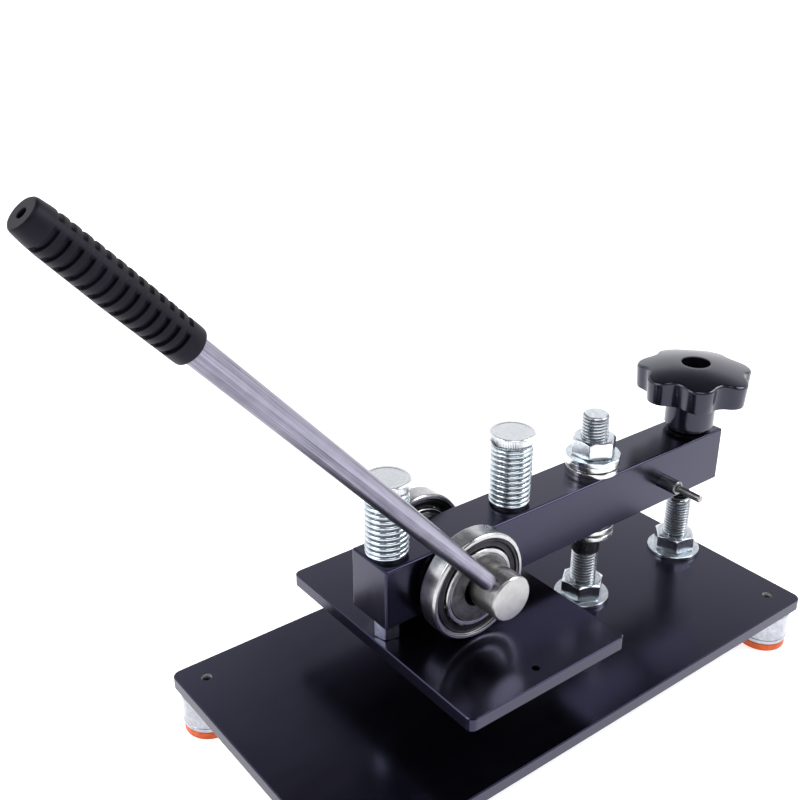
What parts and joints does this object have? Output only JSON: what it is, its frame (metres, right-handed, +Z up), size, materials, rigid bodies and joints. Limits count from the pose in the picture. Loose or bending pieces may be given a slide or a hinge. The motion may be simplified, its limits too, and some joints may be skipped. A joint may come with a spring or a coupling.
{
  "type": "hand lever press",
  "caption": "Tabletop hand lever press: a swinging beam carries a sprung platen that eccentric ball bearings push down onto a base plate on feet.",
  "frame": {"origin": "on the bench plane, under the middle of the base plate", "axes": "+X along the beam towards the star knob, -Y towards the lever side, +Z up from the bench"},
  "size_m": [0.4559, 0.175, 0.3462],
  "materials": {
    "black_paint": "satin black powder coat",
    "black_oxide": "blackened steel",
    "zinc_plate": "bright zinc plate",
    "polished_foot": "polished",
    "orange_pad": "moulded, matt",
    "bronze": "machined",
    "bearing_steel": "ground",
    "shield_steel": "pressed",
    "spring_wire": "zinc plated wire",
    "shaft_steel": "turned and brushed",
    "black_rubber": "moulded, matt",
    "black_plastic": "glossy"
  },
  "bodies": {
    "base": {"base_plate": "black_paint", "foot_body_front_left": "polished_foot", "foot_body_front_right": "polished_foot", "foot_body_rear_left": "polished_foot", "foot_body_rear_right": "polished_foot", "foot_pad_front_left": "orange_pad", "foot_pad_front_right": "orange_pad", "foot_pad_rear_left": "orange_pad", "foot_pad_rear_right": "orange_pad", "foot_studs": "zinc_plate", "fulcrum_bolt": "zinc_plate", "rear_bolt": "zinc_plate", "base_washers": "zinc_plate", "base_nuts": "zinc_plate", "support_collar": "black_oxide", "lower_thrust_bottom_race": "bearing_steel", "lower_thrust_ball_cage": "bearing_steel", "upper_thrust_ball_cage": "bearing_steel", "upper_thrust_top_race": "bearing_steel", "top_washer": "zinc_plate", "top_nut": "zinc_plate"},
    "arm": {"beam": "black_paint", "lower_thrust_top_race": "bearing_steel", "upper_thrust_bottom_race": "bearing_steel", "fulcrum_bush": "bronze", "guide_bush_front": "bronze", "guide_bush_rear": "bronze", "shaft_bush_near": "bronze", "shaft_bush_far": "bronze", "thrust_ring_near": "bronze", "thrust_ring_far": "bronze", "screw_insert": "zinc_plate", "plunger_sleeve": "zinc_plate", "spring_front": "spring_wire", "spring_rear": "spring_wire"},
    "platen": {"platen": "black_paint", "guide_rod_front": "zinc_plate", "guide_rod_rear": "zinc_plate", "stop_nut_front": "zinc_plate", "stop_nut_rear": "zinc_plate", "spring_cap_front": "zinc_plate", "spring_cap_rear": "zinc_plate"},
    "lever": {"cam_shaft": "shaft_steel", "far_cam": "shaft_steel", "end_screw": "shaft_steel", "bearing_inner_near": "bearing_steel", "bearing_inner_far": "bearing_steel", "lever_rod": "shaft_steel", "lever_grip": "black_rubber"},
    "near_roller": {"bearing_outer_near": "bearing_steel", "bearing_balls_near": "bearing_steel", "bearing_shields_near": "shield_steel"},
    "far_roller": {"bearing_outer_far": "bearing_steel", "bearing_balls_far": "bearing_steel", "bearing_shields_far": "shield_steel"},
    "screw": {"adjusting_screw": "black_oxide"},
    "knob": {"star_knob": "black_plastic", "knob_insert": "bronze"},
    "plunger": {"plunger_pin": "zinc_plate"}
  },
  "joints": [
    {"name": "arm_swing", "type": "hinge", "parent": "base", "child": "arm", "pos_m": [0.067, 0, 0.1], "axis": [0, 0, 1], "range_deg": [-90, 90]},
    {"name": "lever_pull", "type": "hinge", "parent": "arm", "child": "lever", "pos_m": [-0.043, 0, 0.1045], "axis": [0, -1, 0], "range_deg": [0, 60]},
    {"name": "platen_press", "type": "slide", "parent": "arm", "child": "platen", "axis": [0, 0, -1], "range_m": [0, 0.0058], "stiffness_N_per_m": 6000, "springref_m": -0.005, "deforming": ["spring_front", "spring_rear"]},
    {"name": "near_roller_spin", "type": "hinge", "parent": "lever", "child": "near_roller", "pos_m": [-0.049, -0.0255, 0.1045], "axis": [0, 1, 0], "continuous": true},
    {"name": "far_roller_spin", "type": "hinge", "parent": "lever", "child": "far_roller", "pos_m": [-0.049, 0.0255, 0.1045], "axis": [0, 1, 0], "continuous": true},
    {"name": "screw_travel", "type": "slide", "parent": "arm", "child": "screw", "axis": [0, 0, 1], "range_m": [0, 0.006]},
    {"name": "knob_turn", "type": "hinge", "parent": "screw", "child": "knob", "pos_m": [0.156, 0, 0.15], "axis": [0, 0, 1], "range_deg": [0, 1080]},
    {"name": "plunger_pull", "type": "slide", "parent": "arm", "child": "plunger", "axis": [0, -1, 0], "range_m": [0, 0.006]}
  ],
  "couplings": [
    {"joint": "lever_pull", "follows": "platen_press", "rad_per_m": 180.55},
    {"joint": "knob_turn", "follows": "screw_travel", "rad_per_m": 3141.5}
  ]
}
